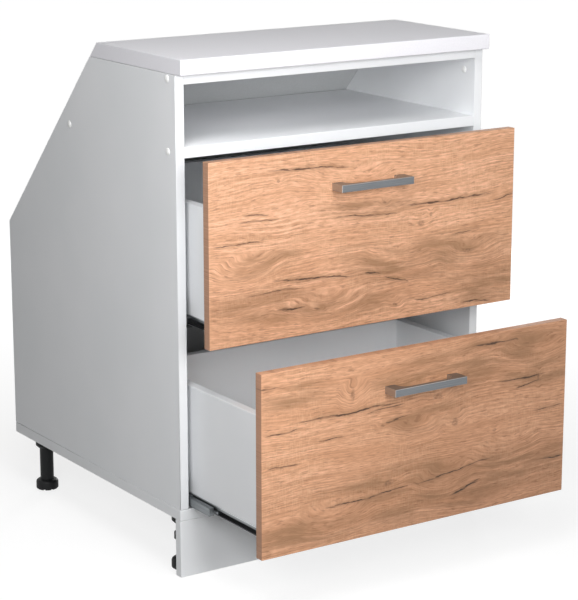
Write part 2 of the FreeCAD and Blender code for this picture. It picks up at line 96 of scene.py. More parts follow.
def linear(colour):
    """Linear RGBA of an sRGB hex colour such as "D9A679"."""
    parts = [int(colour[i:i + 2], 16) / 255 for i in (0, 2, 4)]
    return (*(part / 12.92 if part < 0.04045 else ((part + 0.055) / 1.055) ** 2.4
              for part in parts), 1.0)


def tones(dark, light):
    """Colour stops for a noise, whose values lie between 0.3 and 0.7 almost everywhere."""
    return [(0.3, linear(dark)), (0.7, linear(light))]


def grey(value):
    return (value, value, value, 1.0)


def put(tree, kind, sockets=None, stops=None, **settings):
    """Adds a node, sets its properties and colour stops, and fills or links its input sockets."""
    node = tree.nodes.new(kind if kind.startswith("NodeGroup") else "ShaderNode" + kind)
    for name, value in settings.items():
        setattr(node, name, value)
    for name, value in (sockets or {}).items():
        if isinstance(value, bpy.types.NodeSocket):
            tree.links.new(value, node.inputs[name])
        else:
            node.inputs[name].default_value = value
    for i, (place, colour) in enumerate(stops or []):
        stop = node.color_ramp.elements[i]
        stop.position = place
        stop.color = colour
    return node


def new_material(name):
    """Empty material and the object coordinates, in metres, that its patterns read."""
    material = bpy.data.materials.new(name)
    material.use_nodes = True
    tree = material.node_tree
    tree.nodes.clear()
    place = put(tree, "TexCoord").outputs["Object"]
    return material, tree, place


def close_material(tree, **sockets):
    """Principled surface with those sockets, joined to the material's output."""
    named = {name.replace("_", " ").title().replace("Ior", "IOR"): value
             for name, value in sockets.items()}
    surface = put(tree, "BsdfPrincipled", named)
    put(tree, "OutputMaterial", {"Surface": surface.outputs[0]})


def grained(name, size, detail, stops, gloss, dents=None, rough=0.5, **surface):
    """Material of one fine grain of that size, which varies its tone and its gloss and dents it
    by that strength and depth."""
    material, tree, place = new_material(name)
    grain = put(tree, "TexNoise", {"Vector": place, "Scale": 1 / size, "Detail": detail,
                                   "Roughness": rough}).outputs["Fac"]
    colour = put(tree, "ValToRGB", {"Fac": grain}, stops).outputs["Color"]
    shine = put(tree, "MapRange", {"Value": grain, "To Min": gloss[0], "To Max": gloss[1]})
    if dents:
        strength, depth = dents
        bump = put(tree, "Bump", {"Height": grain, "Strength": strength, "Distance": depth})
        surface["normal"] = bump.outputs[0]
    close_material(tree, base_color=colour, roughness=shine.outputs[0], **surface)
    return material


def melamine_board():
    """Melamine film pressed on chipboard: a cool white, satin, with a fine pearl texture
    that is drawn four times as coarse as the real 0.4 mm so that it shows."""
    material, tree, place = new_material("melamine_board")
    cloud = put(tree, "TexNoise", {"Vector": place, "Scale": 1 / (180 * MM), "Detail": 2.0})
    pearl = put(tree, "TexNoise", {"Vector": place, "Scale": 1 / (1.6 * MM), "Detail": 3.0,
                                   "Roughness": 0.6}).outputs["Fac"]
    colour = put(tree, "ValToRGB", {"Fac": cloud.outputs["Fac"]},
                 [(0.35, linear("F1F3F5")), (0.7, linear("F6F7F9"))]).outputs["Color"]
    gloss = put(tree, "MapRange", {"Value": pearl, "To Min": 0.36, "To Max": 0.5}).outputs[0]
    bump = put(tree, "Bump", {"Height": pearl, "Strength": 0.05, "Distance": 0.05 * MM}).outputs[0]
    close_material(tree, base_color=colour, roughness=gloss, normal=bump)
    return material


def handle_metal():
    """Steel bar, brushed: the front and the top are painted a darker grey as shade, the other sides
    keep the lighter grey, with fine scratches along the bar, drawn 0.7 mm wide instead of 0.1 mm so
    that they show."""
    material, tree, place = new_material("brushed_steel")
    along = put(tree, "Mapping", {"Vector": place, "Scale": (1 / (60 * MM), 1 / (0.7 * MM),
                                                             1 / (0.7 * MM))}).outputs[0]
    scratch = put(tree, "TexNoise", {"Vector": along, "Scale": 1.0, "Detail": 3.0,
                                     "Roughness": 0.7}).outputs["Fac"]
    facing = put(tree, "SeparateXYZ", {0: put(tree, "TexCoord").outputs["Normal"]}).outputs
    front = put(tree, "MapRange", {"Value": facing["Y"], "From Min": -0.8,
                                   "From Max": -0.98}).outputs[0]
    top = put(tree, "MapRange", {"Value": facing["Z"], "From Min": 0.8,
                                 "From Max": 0.98}).outputs[0]
    colour = put(tree, "ValToRGB", {"Fac": scratch}, tones("A5A4A3", "B9B8B7")).outputs["Color"]
    # Front and top painted darker: painted shade on one and the same steel.
    for side, stops in ((top, tones("7C7B7A", "908F8E")), (front, tones("6A6D70", "808386"))):
        shaded_grey = put(tree, "ValToRGB", {"Fac": scratch}, stops).outputs["Color"]
        colour = put(tree, "Mix", {"Factor": side, "A": colour, "B": shaded_grey},
                     data_type="RGBA").outputs["Result"]
    gloss = put(tree, "MapRange", {"Value": scratch, "To Min": 0.32, "To Max": 0.5}).outputs[0]
    bump = put(tree, "Bump", {"Height": scratch, "Strength": 0.15,
                              "Distance": 0.05 * MM}).outputs[0]
    close_material(tree, base_color=colour, metallic=1.0, roughness=gloss, normal=bump)
    return material


def drawn_lines(tree, place):
    """Noise of faint lines along a rail, 1.2 mm wide instead of 0.1 mm so that they show."""
    along = put(tree, "Mapping", {"Vector": place, "Scale": (1 / (1.2 * MM), 1 / (80 * MM),
                                                             1 / (1.2 * MM))}).outputs[0]
    return put(tree, "TexNoise", {"Vector": along, "Scale": 1.0, "Detail": 3.0}).outputs["Fac"]


def plated_steel(name, dark, light, rough):
    """Plated or blackened steel: the tone of its coating, faintly lined by the drawing of the
    steel."""
    material, tree, place = new_material(name)
    lines = drawn_lines(tree, place)
    colour = put(tree, "ValToRGB", {"Fac": lines}, tones(dark, light)).outputs["Color"]
    gloss = put(tree, "MapRange", {"Value": lines, "To Min": rough - 0.08,
                                   "To Max": rough + 0.08}).outputs[0]
    bump = put(tree, "Bump", {"Height": lines, "Strength": 0.1, "Distance": 0.05 * MM}).outputs[0]
    close_material(tree, base_color=colour, metallic=1.0, roughness=gloss, normal=bump)
    return material


def drawer_rail_steel(level):
    """Rolled zinc steel rail: a bright band at its top that is a painted highlight, a grey lip
    under it and a channel painted near black as shade, all faintly lined along the rail."""
    material, tree, place = new_material("rail_steel_painted_shade_" + level)
    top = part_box(level + "_left_drawer_rail")[1].z
    blur = 0.3 * MM
    height = put(tree, "SeparateXYZ", {0: place}).outputs["Z"]
    lines = drawn_lines(tree, place)
    lip, rim = (put(tree, "MapRange", {"Value": height, "From Min": top - depth - blur,
                                       "From Max": top - depth}).outputs[0]
                for depth in (RAIL_LIP, RAIL_HIGHLIGHT))
    # Near black of the channel: painted shade, since the rail's steel is zinc all over.
    colour = put(tree, "ValToRGB", {"Fac": lines}, tones("1E2022", "2C2E30")).outputs["Color"]
    # The lip keeps its grey zinc; the bright band along the top is a painted highlight.
    for zone, stops in ((lip, tones("74787B", "8E9294")), (rim, tones("C4C8CA", "DCDFE0"))):
        lip_or_highlight = put(tree, "ValToRGB", {"Fac": lines}, stops).outputs["Color"]
        colour = put(tree, "Mix", {"Factor": zone, "A": colour, "B": lip_or_highlight},
                     data_type="RGBA").outputs["Result"]
    gloss = put(tree, "MapRange", {"Value": lines, "To Min": 0.34, "To Max": 0.5}).outputs[0]
    close_material(tree, base_color=colour, metallic=lip, roughness=gloss)
    return material


def hardboard():
    """High density fibreboard: white lacquer, painted greyer as the shade inside the cabinet, on
    the side that shows, and towards the wall raw brown fibre with the sieve pattern of the press,
    its wires drawn
    3 mm apart instead of 1.5 mm so that they show."""
    material, tree, place = new_material("back_hardboard")
    facing = put(tree, "SeparateXYZ", {0: put(tree, "TexCoord").outputs["Normal"]}).outputs["Y"]
    raw = put(tree, "MapRange", {"Value": facing, "From Min": 0.4, "From Max": 0.5}).outputs[0]
    fibre = put(tree, "TexNoise", {"Vector": place, "Scale": 1 / (4 * MM), "Detail": 6.0,
                                   "Roughness": 0.7}).outputs["Fac"]
    brown = put(tree, "ValToRGB", {"Fac": fibre}, tones("6E4C32", "936B47")).outputs["Color"]
    # Greyer white of the lacquer: painted shade inside the cabinet.
    white = put(tree, "ValToRGB", {"Fac": fibre}, tones("D6D8D9", "DDDFE0")).outputs["Color"]
    colour = put(tree, "Mix", {"Factor": raw, "A": white, "B": brown},
                 data_type="RGBA").outputs["Result"]
    wave_length = 0.314  # of the wave texture at a scale of 1
    wires = wave_length / (3 * MM)
    warp, weft = (put(tree, "TexWave", {"Vector": place, "Scale": wires},
                      bands_direction=axis).outputs["Fac"] for axis in ("X", "Z"))
    sieve = put(tree, "Math", {0: warp, 1: weft}, operation="MULTIPLY").outputs[0]
    relief = put(tree, "Math", {0: sieve, 1: raw}, operation="MULTIPLY").outputs[0]
    bump = put(tree, "Bump", {"Height": relief, "Strength": 0.5, "Distance": 0.2 * MM}).outputs[0]
    gloss = put(tree, "MapRange", {"Value": raw, "To Min": 0.42, "To Max": 0.75}).outputs[0]
    close_material(tree, base_color=colour, roughness=gloss, normal=bump)
    return material


def mark_group(name, shape):
    """Node group for one printed mark of the decor: shape works out its depth and its halo,
    0 to 1."""
    group = bpy.data.node_groups.new(name, "ShaderNodeTree")
    for socket in ("X", "Z", "Middle X", "Middle Z", "Half Length", "Slope", "Half Width"):
        group.interface.new_socket(name=socket, in_out="INPUT", socket_type="NodeSocketFloat")
    for socket in ("Depth", "Halo"):
        group.interface.new_socket(name=socket, in_out="OUTPUT", socket_type="NodeSocketFloat")
    given = put(group, "NodeGroupInput").outputs
    along = put(group, "Math", {0: given["X"], 1: given["Middle X"]},
                operation="SUBTRACT").outputs[0]
    height = put(group, "Math", {0: along, 1: given["Slope"], 2: given["Middle Z"]},
                 operation="MULTIPLY_ADD").outputs[0]
    off = put(group, "Math", {0: given["Z"], 1: height}, operation="SUBTRACT").outputs[0]
    share = put(group, "Math", {0: along, 1: given["Half Length"]}, operation="DIVIDE").outputs[0]
    square = put(group, "Math", {0: share, 1: share}, operation="MULTIPLY").outputs[0]
    depth, halo = shape(group, off, square, given["Half Width"])
    put(group, "NodeGroupOutput", {"Depth": depth, "Halo": halo})
    return group


def crack_shape(group, off, square, half_width):
    """Thin line along the grain that tapers to its ends, in a wide faint stain."""
    core_share, stain_share = 0.45, 5.0
    fourth = put(group, "Math", {0: square, 1: square}, operation="MULTIPLY").outputs[0]
    taper = put(group, "Math", {0: 1.0, 1: fourth}, operation="SUBTRACT",
                use_clamp=True).outputs[0]
    width = put(group, "Math", {0: taper, 1: half_width}, operation="MULTIPLY").outputs[0]
    core = put(group, "Math", {0: width, 1: core_share}, operation="MULTIPLY").outputs[0]
    stain = put(group, "Math", {0: width, 1: stain_share}, operation="MULTIPLY").outputs[0]
    off = put(group, "Math", {0: off}, operation="ABSOLUTE").outputs[0]
    found = []
    for near, reach in ((core, width), (0.0, stain)):
        line = put(group, "MapRange", {"Value": off, "From Min": near, "From Max": reach,
                                       "To Min": 1.0, "To Max": 0.0},
                   interpolation_type="SMOOTHSTEP").outputs[0]
        found.append(put(group, "Math", {0: line, 1: taper}, operation="MULTIPLY").outputs[0])
    return found


def patch_shape(group, off, square, half_width):
    """Soft oval patch in one three times as wide: a small one is a knot, a large one a brown
    cloud."""
    up = put(group, "Math", {0: off, 1: half_width}, operation="DIVIDE").outputs[0]
    far = put(group, "Math", {0: up, 1: up, 2: square}, operation="MULTIPLY_ADD").outputs[0]
    found = []
    for reach in (1.0, 9.0):
        found.append(put(group, "MapRange", {"Value": far, "From Min": 0.0, "From Max": reach,
                                             "To Min": 1.0, "To Max": 0.0},
                         interpolation_type="SMOOTHSTEP").outputs[0])
    return found


crack_group = mark_group("decor_crack", crack_shape)
patch_group = mark_group("decor_patch", patch_shape)

# Printed marks of each drawer front: middle along the width and height from the front's lower left
# corner, half length, slope and half width, in millimetres.
OAK_CRACKS = {
    "upper": [(185, 266, 84, -0.06, 1.7), (463, 187, 95, 0.02, 1.8), (50, 162, 50, -0.03, 1.0),
              (195, 90, 84, -0.06, 1.8), (355, 68, 27, -0.30, 1.4), (295, 180, 70, -0.07, 0.9),
              (85, 204, 26, -0.08, 1.0), (520, 8, 34, -0.09, 1.3), (150, 46, 30, -0.02, 1.7),
              (575, 180, 24, 0.10, 1.1), (490, 128, 26, 0.05, 1.0), (90, 194, 40, 0.0, 0.9),
              (430, 30, 40, 0.06, 1.1), (120, 78, 60, 0.03, 0.9), (310, 84, 20, -0.1, 1.2)],
    "lower": [(38, 197, 34, 0.04, 1.0), (160, 208, 104, 0.0, 1.8), (229, 203, 40, 0.06, 1.1),
              (503, 209, 54, -0.02, 1.4), (446, 275, 52, 0.0, 1.8), (205, 65, 100, 0.04, 1.1),
              (370, 77, 84, 0.12, 1.3), (390, 43, 34, 0.22, 1.5), (571, 62, 26, 0.0, 1.2),
              (127, 170, 26, 0.02, 1.0), (12, 269, 20, 0.0, 1.2), (560, 150, 36, 0.05, 1.1),
              (40, 143, 34, -0.02, 1.0), (250, 182, 22, 0.1, 1.1), (520, 196, 34, 0.12, 0.9)],
}
OAK_KNOTS = {
    "upper": [(404, 154, 9, 0.0, 7), (424, 166, 4, 0.0, 4), (503, 99, 16, -0.1, 4),
              (140, 46, 9, 0.0, 4), (330, 196, 5, 0.0, 3), (127, 252, 4, 0.0, 3),
              (200, 40, 8, -0.3, 3), (354, 26, 7, -0.3, 5)],
    "lower": [(167, 234, 5, 0.0, 11), (367, 158, 8, 0.0, 8), (237, 80, 13, 0.1, 6),
              (446, 276, 12, 0.0, 4), (538, 204, 3, 0.0, 8), (332, 206, 12, 0.0, 7),
              (225, 176, 6, 0.0, 3), (448, 130, 5, 0.0, 3)],
}
OAK_CLOUDS = {
    "upper": [(120, 52, 150, -0.04, 34), (330, 95, 130, -0.15, 46), (470, 100, 140, 0.05, 52),
              (100, 125, 90, 0.15, 24), (250, 38, 170, 0.0, 26), (540, 40, 120, 0.0, 46),
              (300, 190, 120, -0.05, 20)],
    "lower": [(370, 246, 150, 0.02, 46), (470, 262, 170, 0.02, 38), (540, 215, 120, 0.0, 38),
              (240, 80, 190, 0.05, 38), (480, 60, 180, 0.05, 50), (80, 30, 140, 0.0, 30),
              (60, 252, 90, 0.05, 26), (300, 175, 100, 0.05, 30), (330, 30, 180, 0.0, 30),
              (285, 246, 110, 0.02, 40)],
}
# Ovals round which the growth lines bend, given in the same way.
OAK_EYES = {
    "upper": [(70, 118, 75, 0.08, 30), (360, 96, 85, -0.12, 34), (512, 88, 72, -0.04, 36),
              (215, 40, 90, 0.0, 30), (250, 240, 110, 0.0, 34)],
    "lower": [(345, 66, 66, 0.1, 34), (168, 232, 34, 0.2, 32), (470, 92, 80, 0.1, 34),
              (290, 152, 60, 0.0, 30), (130, 40, 90, 0.0, 34), (520, 250, 80, 0.0, 32)],
}
# Painted shade over each front where less light falls: the axis along which it darkens, where that
# starts and where it is full, in millimetres, and the tone.
OAK_PAINTED_SHADES = {
    "upper": [("Z", 125.0, 75.0, "F3F1EF")],
    "lower": [("X", 60.0, 420.0, "E6E3E0"), ("Z", 150.0, 20.0, "F0EEEC")],
}


def oak_decor(front):
    """Printed oak decor on melamine film: peach gold with growth lines along the width, open pores,
    pale rays across them, brown clouds, knots and dry cracks; the back of the board is plain white.
    The lines are drawn at the real 3 mm or so. The pores, really 0.3 mm wide, are drawn eight times
    as wide so that they show."""
    material, tree, place = new_material("oak_decor_" + front)
    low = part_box(front + "_drawer_front")[0]
    # The lower front's base tones are a little darker: painted shade, as less light reaches it.
    seed, pale, tan = {"upper": (3.0, "FAC4A1", "E6AF8A"),
                       "lower": (41.0, "F4BD99", "DEA782")}[front]
    in_mm = put(tree, "Mapping", {"Vector": place, "Location": (-low.x / MM, 0, -low.z / MM),
                                  "Scale": (1 / MM, 1 / MM, 1 / MM)}).outputs[0]
    spot = put(tree, "SeparateXYZ", {0: in_mm}).outputs

    def pattern(source, x_mm, z_mm, detail, span, result=(0.0, 1.0), rough=0.55):
        """Noise stretched to that grain size, its values between span drawn out to result."""
        stretched = put(tree, "Mapping", {"Vector": source, "Location": (seed, seed, seed),
                                          "Scale": (1 / x_mm, 0.0, 1 / z_mm)}).outputs[0]
        noise = put(tree, "TexNoise", {"Vector": stretched, "Scale": 1.0, "Detail": detail,
                                       "Roughness": rough}).outputs["Fac"]
        return put(tree, "MapRange", {"Value": noise, "From Min": span[0], "From Max": span[1],
                                      "To Min": result[0], "To Max": result[1]}).outputs[0]

    def marks(rows, group, level):
        """Depth and halo of the strongest of those marks at each spot."""
        strongest = {"Depth": 0.0, "Halo": 0.0}
        for middle_x, middle_z, half_length, slope, half_width in rows:
            found = put(tree, "Group", {"X": spot["X"], "Z": level, "Middle X": middle_x,
                                        "Middle Z": middle_z, "Half Length": half_length,
                                        "Slope": slope, "Half Width": half_width},
                        node_tree=group).outputs
            for name in strongest:
                strongest[name] = put(tree, "Math", {0: strongest[name], 1: found[name]},
                                      operation="MAXIMUM").outputs[0]
        return strongest["Depth"], strongest["Halo"]

    def stain(colour, tone, *shares):
        """Colour mixed with a tone, as far as the product of those shares."""
        depth = 1.0
        for share in shares:
            depth = put(tree, "Math", {0: depth, 1: share}, operation="MULTIPLY").outputs[0]
        return put(tree, "Mix", {"Factor": depth, "A": colour, "B": linear(tone)},
                   data_type="RGBA").outputs["Result"]

    wave = pattern(in_mm, 80, 38, 3.0, (0, 1), (-6, 6))
    wavy = put(tree, "Math", {0: spot["Z"], 1: wave}, operation="ADD").outputs[0]
    jags = pattern(in_mm, 36, 9, 3.0, (0.25, 0.75), (-2.2, 2.2))
    jagged = put(tree, "Math", {0: wavy, 1: jags}, operation="ADD").outputs[0]
    knots, swirl = marks(OAK_KNOTS[front], patch_group, jagged)
    cracks, crack_stain = marks(OAK_CRACKS[front], crack_group, jagged)
    clouds, _ = marks(OAK_CLOUDS[front], patch_group, wavy)
    eyes, _ = marks(OAK_EYES[front], patch_group, wavy)

    bend = pattern(in_mm, 330, 130, 1.0, (0, 1), (-24, 24))
    ring = spot["Z"]
    for shift, share in ((wave, 0.55), (bend, 1.0), (swirl, 4.0), (eyes, 12.0)):
        ring = put(tree, "Math", {0: shift, 1: share, 2: ring},
                   operation="MULTIPLY_ADD").outputs[0]
    grain = put(tree, "CombineXYZ", {0: spot["X"], 2: ring}).outputs[0]

    bands = pattern(grain, 420, 26, 3.0, (0.36, 0.66))
    lines = pattern(grain, 190, 2.8, 3.0, (0.43, 0.59), rough=0.65)
    lines_zone = pattern(in_mm, 130, 60, 1.0, (0.3, 0.65), (0.4, 1.0))
    fibres = pattern(grain, 17, 2.5, 2.0, (0.36, 0.64))
    pores = pattern(grain, 22, 2.4, 2.0, (0.57, 0.66), rough=0.6)
    rays = pattern(in_mm, 2.6, 13, 2.0, (0.46, 0.64))
    rays_zone = pattern(in_mm, 110, 60, 1.0, (0.42, 0.6))
    patchy = pattern(grain, 95, 14, 4.0, (0.36, 0.62))
    broken = pattern(in_mm, 24, 6, 2.0, (0.38, 0.52), (0.3, 1.0))
    crumbled = pattern(in_mm, 6, 3.5, 3.0, (0.36, 0.6), (0.25, 1.0))

    colour = put(tree, "Mix", {"Factor": bands, "A": linear(pale), "B": linear(tan)},
                 data_type="RGBA").outputs["Result"]
    for tone, *shares in (("BD8964", fibres, 0.6), ("A97853", lines, lines_zone, 0.62),
                          ("F8CFAC", rays, rays_zone, 0.2), ("98714F", clouds, patchy, 0.8),
                          ("8A6145", pores, 0.5), ("8C6749", crack_stain, 0.4),
                          ("5E4029", knots, crumbled, 0.6), ("4A301D", cracks, broken)):
        colour = stain(colour, tone, *shares)
    # Painted shade: each front darkens towards its foot, and the lower one towards its right.
    for axis, start, full, tone in OAK_PAINTED_SHADES[front]:
        share = put(tree, "MapRange", {"Value": spot[axis], "From Min": start,
                                       "From Max": full}).outputs[0]
        colour = put(tree, "Mix", {"Factor": share, "A": colour, "B": linear(tone)},
                     data_type="RGBA", blend_type="MULTIPLY").outputs["Result"]

    facing = put(tree, "SeparateXYZ", {0: put(tree, "TexCoord").outputs["Normal"]}).outputs
    sideways = put(tree, "Math", {0: facing["X"]}, operation="ABSOLUTE").outputs[0]
    edge, upright_edge_shade, back = (
        put(tree, "MapRange", {"Value": turn, "From Min": start, "From Max": full}).outputs[0]
        for turn, start, full in ((facing["Y"], -0.9, -0.4), (sideways, 0.6, 0.9),
                                  (facing["Y"], 0.75, 0.8)))
    # Edge band's own tone on every edge; the upright edges are painted darker still, as shade.
    for tone, *shares in (("A57E66", edge, 0.45), ("8E6248", upright_edge_shade, 0.32),
                          ("F3F4F6", back)):
        colour = stain(colour, tone, *shares)

    relief = 0.0
    for dent, share in ((pores, 1.0), (cracks, 1.0), (lines, 0.4)):
        relief = put(tree, "Math", {0: dent, 1: share, 2: relief},
                     operation="MULTIPLY_ADD").outputs[0]
    bump = put(tree, "Bump", {"Height": relief, "Strength": 0.3, "Distance": 0.15 * MM},
               invert=True).outputs[0]
    gloss = put(tree, "MapRange", {"Value": pores, "To Min": 0.46, "To Max": 0.62}).outputs[0]
    close_material(tree, base_color=colour, roughness=gloss, normal=bump)
    return material


finishes = {
    "white_melamine": melamine_board(),
    # High pressure laminate: white with a breath of lilac, a little rougher than the board. Its
    # grit of 0.3 mm is drawn four times as coarse so that it shows.
    "worktop_laminate": grained("worktop_laminate", 1.2 * MM, 4.0, tones("EEEDF2", "F6F5FA"),
                                (0.4, 0.55), (0.08, 0.05 * MM), rough=0.65),
    "brushed_handle": handle_metal(),
    # Polypropylene, moulded: near black and dull, with an eroded tool texture that swallows most of
    # the shine, drawn 0.9 mm wide instead of 0.2 mm so that it shows.
    "black_plastic": grained("black_polypropylene", 0.9 * MM, 3.0, tones("0F1011", "191A1B"),
                             (0.45, 0.62), (0.25, 0.08 * MM), specular_ior_level=0.22),
    # Polyethylene, moulded: a hair warmer and glossier than the board that the cap sits on, with a
    # soft unevenness about 1 mm wide, drawn as it is.
    "white_plastic": grained("white_polyethylene", 1.2 * MM, 2.0, tones("F2F2F1", "F8F8F7"),
                             (0.26, 0.38), (0.08, 0.05 * MM)),
    "zinc_runner_steel": plated_steel("zinc_runner_steel", "6E7275", "8C9092", 0.4),
    "zinc_fastener": plated_steel("zinc_fastener", "9C9FA0", "C2C5C6", 0.3),
    # Polyurethane, cast: clear, a little clouded, with a soft gloss. The clouds are 2 mm wide.
    "clear_bumper": grained("clear_polyurethane", 2 * MM, 3.0, tones("E9ECEC", "F7F9F9"),
                            (0.15, 0.35), transmission_weight=0.85, ior=1.5),
}
# High density fibreboard lacquered white on both sides: flatter than the melamine, with an orange
# peel of the roller, 2 mm wide, drawn as it is.
lacquered_board = grained("lacquered_hardboard", 2 * MM, 2.0, tones("F0F2F3", "F5F6F8"),
                          (0.4, 0.52), (0.1, 0.1 * MM))
back_hardboard = hardboard()
# Near black steel for the drawer rail screws: painted shade, like the rail's channel they sit in.
rail_screw_shade_steel = plated_steel("rail_screw_painted_shade", "17191B", "26282A", 0.42)
own_finish = {"sloped_back_panel": back_hardboard, "lower_back_panel": back_hardboard}
for level in LEVELS:
    own_finish[level + "_drawer_front"] = oak_decor(level)
    own_finish[level + "_drawer_bottom"] = lacquered_board
    own_finish[level + "_left_drawer_rail"] = drawer_rail_steel(level)
    own_finish[level + "_right_drawer_rail"] = own_finish[level + "_left_drawer_rail"]
    own_finish[level + "_drawer_rail_screws"] = rail_screw_shade_steel
slots = {row["node"]: row["material_slot"] for row in frame["record"]["subparts"]}
for name, slot in slots.items():
    nodes[name].data.materials.clear()
    nodes[name].data.materials.append(own_finish.get(name) or finishes[slot])


def take(piece):
    """Selects this piece alone and makes it the active one."""
    bpy.ops.object.select_all(action="DESELECT")
    piece.select_set(True)
    bpy.context.view_layer.objects.active = piece


def select_where(kind, test):
    """Selects, in edit mode, those edges or faces of the active piece that pass the test."""
    mesh = bpy.context.object.data
    bpy.ops.mesh.select_mode(type={"edges": "EDGE", "faces": "FACE"}[kind])
    bpy.ops.mesh.select_all(action="DESELECT")
    shape = bmesh.from_edit_mesh(mesh)
    for item in getattr(shape, kind):
        if test(item):
            item.select_set(True)
    bmesh.update_edit_mesh(mesh)


def leave_edit(smooth_below):
    """Back to object mode, with smooth shading over edges under that many degrees."""
    bpy.ops.object.mode_set(mode="OBJECT")
    bpy.ops.object.shade_smooth_by_angle(angle=math.radians(smooth_below))


def dress(piece, body, slot, *stood_for):
    """Finish and body of a new piece, and the CAD nodes that it stands for."""
    piece.data.materials.clear()
    piece.data.materials.append(own_finish.get(stood_for[0] if stood_for else "")
                                or finishes[slot])
    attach(piece, body)
    if stood_for:
        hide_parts(*stood_for)


def set_out(model, name, places):
    """Copies of a small model at each place, its top turned the given way, joined to one piece."""
    copies = []
    for point, direction in places:
        take(model)
        bpy.ops.object.duplicate()
        copy = bpy.context.object
        copy.location = point
        copy.rotation_euler = direction.to_track_quat("Z", "Y").to_euler()
        bpy.ops.object.transform_apply(location=True, rotation=True, scale=True)
        copies.append(copy)
    take(copies[0])
    for copy in copies[1:]:
        copy.select_set(True)
    if len(copies) > 1:
        bpy.ops.object.join()
    copies[0].name = name
    return copies[0]


def solids_in(name):
    """Each separate solid of a CAD node: its points, and the middle and normal of its widest flat
    face."""
    shape = bmesh.new()
    shape.from_mesh(nodes[name].data)
    bmesh.ops.remove_doubles(shape, verts=shape.verts, dist=0.1 * WELD)
    seen = set()
    found = []
    for first in shape.faces:
        if first in seen:
            continue
        seen.add(first)
        waiting, flats = [first], {}
        while waiting:
            face = waiting.pop()
            height = face.normal.dot(face.verts[0].co) / MM
            plane = (*(round(part, 2) for part in face.normal), round(height, 1))
            flats.setdefault(plane, []).append(face)
            for vert in face.verts:
                fresh = [other for other in vert.link_faces if other not in seen]
                seen.update(fresh)
                waiting += fresh
        widest = max(flats.values(), key=lambda faces: sum(face.calc_area() for face in faces))
        rim = list(dict.fromkeys(vert for face in widest for vert in face.verts))
        middle = sum((vert.co for vert in rim), Vector()) / len(rim)
        points = dict.fromkeys(vert for faces in flats.values() for face in faces
                               for vert in face.verts)
        found.append(([vert.co.copy() for vert in points], middle, widest[0].normal.copy()))
    shape.free()
    return found


def eased(name, width, is_arris, below=0.0, above=0.0):
    """Copy of a CAD node whose picked arrises are rounded to that width. It is cut short below or
    above by the hairline of a joint."""
    flat, sharp = math.radians(0.5), math.radians(35)
    piece = bpy.data.objects.new(name + "_eased", nodes[name].data.copy())
    bpy.context.scene.collection.objects.link(piece)
    take(piece)
    bpy.ops.mesh.customdata_custom_splitnormals_clear()
    bpy.ops.object.mode_set(mode="EDIT")
    bpy.ops.mesh.select_all(action="SELECT")
    bpy.ops.mesh.remove_doubles(threshold=WELD)
    bpy.ops.mesh.dissolve_limited(angle_limit=flat)
    select_where("edges", lambda edge: len(edge.link_faces) == 2 and edge.is_convex
                 and edge.calc_face_angle() > sharp and is_arris(edge))
    bpy.ops.mesh.bevel(offset=width, segments=2, affect="EDGES")
    leave_edit(20)
    low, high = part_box(name)
    low.z += below
    high.z -= above
    for vert in piece.data.vertices:
        vert.co = [min(max(vert.co[i], low[i]), high[i]) for i in range(3)]
    dress(piece, nodes[name]["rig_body"], slots[name], name)
    return piece


def eased_board(name, below=0.0, above=0.0):
    """Board whose long arrises are eased, as the edge banding machine leaves them.
    The real 0.5 mm is drawn twice as wide, so that the joints between the boards show."""
    least_area = 150 * MM * MM
    return eased(name, 1.0 * MM,
                 lambda edge: min(face.calc_area() for face in edge.link_faces) > least_area,
                 below, above)


def eased_handle(name):
    """Bar handle with its upper and lower arrises broken."""
    eased(name, 0.6 * MM,
          lambda edge: any(abs(face.normal.z) > 0.99 for face in edge.link_faces))


def cover_cap():
    """Snap cap: a low disc with an upright rim and a crown."""
    radius, rim = 6.0 * MM, 0.5 * MM
    crown = ((0.4, 0.4), (1.2, 0.55), (1.6, 0.55), (1.6, 0.35))  # steps inwards and upwards, in mm
    bpy.ops.object.select_all(action="DESELECT")
    bpy.ops.mesh.primitive_cylinder_add(vertices=40, radius=radius, depth=rim,
                                        location=(0, 0, rim / 2))
    cap = bpy.context.object
    bpy.ops.object.transform_apply(location=True)
    bpy.ops.object.mode_set(mode="EDIT")
    select_where("faces", lambda face: face.normal.z > 0.9)
    for step, rise in crown:
        bpy.ops.mesh.inset(thickness=step * MM)
        bpy.ops.transform.translate(value=(0, 0, rise * MM))
    leave_edit(60)
    return cap


